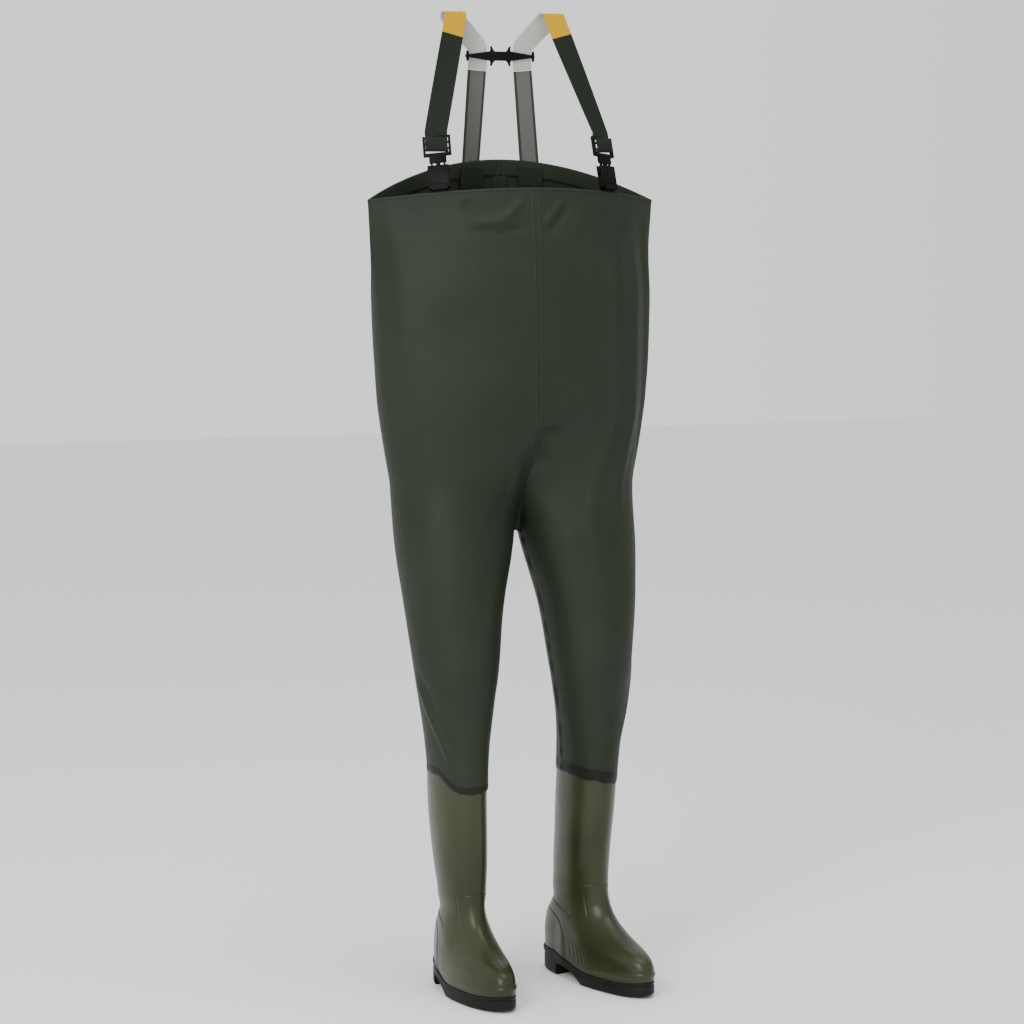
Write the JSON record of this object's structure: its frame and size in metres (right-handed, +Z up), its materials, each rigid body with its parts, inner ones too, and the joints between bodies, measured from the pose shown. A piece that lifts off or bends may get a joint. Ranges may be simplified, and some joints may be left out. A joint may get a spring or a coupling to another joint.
{
  "type": "chest waders",
  "caption": "Chest-high welded PVC waders with moulded boots, elastic braces, side-release buckles and a sliding back connector.",
  "frame": {"origin": "Midway between the undersides of the two brace folds, where the shoulders carry the waders", "axes": "+X to the wearer's left, front faces -Y, +Z up"},
  "size_m": [0.52, 0.3782, 1.6757],
  "materials": {
    "suit_fabric": "matt woven polyester coated with green PVC",
    "weld_tape": "satin green PVC tape, high-frequency welded",
    "boot_pvc": "semi-gloss moulded olive PVC",
    "sole_pvc": "matt black moulded PVC with lugs",
    "insole_felt": "grey needled felt",
    "buckle_plastic": "black acetal, fine satin mould texture",
    "webbing_green": "dark green woven elastic",
    "webbing_yellow": "woven webbing, yellow face and off-white reverse",
    "webbing_grey": "grey woven elastic with darker edges"
  },
  "bodies": {
    "bib": {"front_seam_tape": "weld_tape", "back_seam_tape": "weld_tape", "chest_hem": "suit_fabric", "left_bib_panel": "suit_fabric", "left_hip_section": "suit_fabric", "left_front_brace": "webbing_green", "left_shoulder_brace": "webbing_yellow", "left_back_brace": "webbing_grey", "left_brace_patch": "weld_tape", "left_buckle_female": "buckle_plastic", "left_buckle_tab": "webbing_green", "right_bib_panel": "suit_fabric", "right_hip_section": "suit_fabric", "right_front_brace": "webbing_green", "right_shoulder_brace": "webbing_yellow", "right_back_brace": "webbing_grey", "right_brace_patch": "weld_tape", "right_buckle_female": "buckle_plastic", "right_buckle_tab": "webbing_green"},
    "cross_connector": {"cross_connector": "buckle_plastic"},
    "left_thigh": {"left_thigh_section": "suit_fabric", "left_knee_section": "suit_fabric"},
    "left_lower_leg": {"left_shin_section": "suit_fabric", "left_boot_weld_band": "weld_tape", "left_boot_upper": "boot_pvc", "left_boot_insole": "insole_felt", "left_boot_outsole": "sole_pvc"},
    "left_buckle_tongue": {"left_buckle_male": "buckle_plastic", "left_adjuster_turn": "webbing_green"},
    "left_outer_prong": {"left_buckle_prong_outer": "buckle_plastic"},
    "left_inner_prong": {"left_buckle_prong_inner": "buckle_plastic"},
    "right_thigh": {"right_thigh_section": "suit_fabric", "right_knee_section": "suit_fabric"},
    "right_lower_leg": {"right_shin_section": "suit_fabric", "right_boot_weld_band": "weld_tape", "right_boot_upper": "boot_pvc", "right_boot_insole": "insole_felt", "right_boot_outsole": "sole_pvc"},
    "right_buckle_tongue": {"right_buckle_male": "buckle_plastic", "right_adjuster_turn": "webbing_green"},
    "right_outer_prong": {"right_buckle_prong_outer": "buckle_plastic"},
    "right_inner_prong": {"right_buckle_prong_inner": "buckle_plastic"}
  },
  "joints": [
    {"name": "left_hip_bend", "type": "hinge", "parent": "bib", "child": "left_thigh", "pos_m": [0.114, -0.12, -0.893], "axis": [-1, 0, 0], "range_deg": [-15, 60], "deforming": ["left_hip_section"]},
    {"name": "left_knee_bend", "type": "hinge", "parent": "left_thigh", "child": "left_lower_leg", "pos_m": [0.1235, -0.124, -1.165], "axis": [1, 0, 0], "range_deg": [0, 75], "deforming": ["left_knee_section"]},
    {"name": "left_buckle_release", "type": "slide", "parent": "bib", "child": "left_buckle_tongue", "axis": [-0.0351, 0.301, 0.953], "range_m": [0, 0.045], "deforming": ["left_front_brace"]},
    {"name": "left_outer_prong_squeeze", "type": "hinge", "parent": "left_buckle_tongue", "child": "left_outer_prong", "pos_m": [0.16101, -0.08939, -0.25745], "axis": [-0.4275, 0.8574, -0.2865], "range_deg": [0, 7], "stiffness_Nm_per_rad": 0.4},
    {"name": "left_inner_prong_squeeze", "type": "hinge", "parent": "left_buckle_tongue", "child": "left_inner_prong", "pos_m": [0.14186, -0.09824, -0.25536], "axis": [0.4275, -0.8574, 0.2865], "range_deg": [0, 7], "stiffness_Nm_per_rad": 0.4},
    {"name": "right_hip_bend", "type": "hinge", "parent": "bib", "child": "right_thigh", "pos_m": [-0.114, -0.12, -0.893], "axis": [-1, 0, 0], "range_deg": [-15, 60], "deforming": ["right_hip_section"]},
    {"name": "right_knee_bend", "type": "hinge", "parent": "right_thigh", "child": "right_lower_leg", "pos_m": [-0.1235, -0.124, -1.165], "axis": [1, 0, 0], "range_deg": [0, 75], "deforming": ["right_knee_section"]},
    {"name": "right_buckle_release", "type": "slide", "parent": "bib", "child": "right_buckle_tongue", "axis": [0.0351, 0.301, 0.953], "range_m": [0, 0.045], "deforming": ["right_front_brace"]},
    {"name": "right_outer_prong_squeeze", "type": "hinge", "parent": "right_buckle_tongue", "child": "right_outer_prong", "pos_m": [-0.16101, -0.08939, -0.25745], "axis": [-0.4275, -0.8574, 0.2865], "range_deg": [0, 7], "stiffness_Nm_per_rad": 0.4},
    {"name": "right_inner_prong_squeeze", "type": "hinge", "parent": "right_buckle_tongue", "child": "right_inner_prong", "pos_m": [-0.14186, -0.09824, -0.25536], "axis": [0.4275, 0.8574, -0.2865], "range_deg": [0, 7], "stiffness_Nm_per_rad": 0.4},
    {"name": "cross_connector_slide", "type": "slide", "parent": "bib", "child": "cross_connector", "axis": [0, 0, 1], "range_m": [-0.022, 0.003]}
  ],
  "couplings": [
    {"joint": "left_inner_prong_squeeze", "follows": "left_outer_prong_squeeze", "ratio": 1},
    {"joint": "right_inner_prong_squeeze", "follows": "right_outer_prong_squeeze", "ratio": 1}
  ]
}
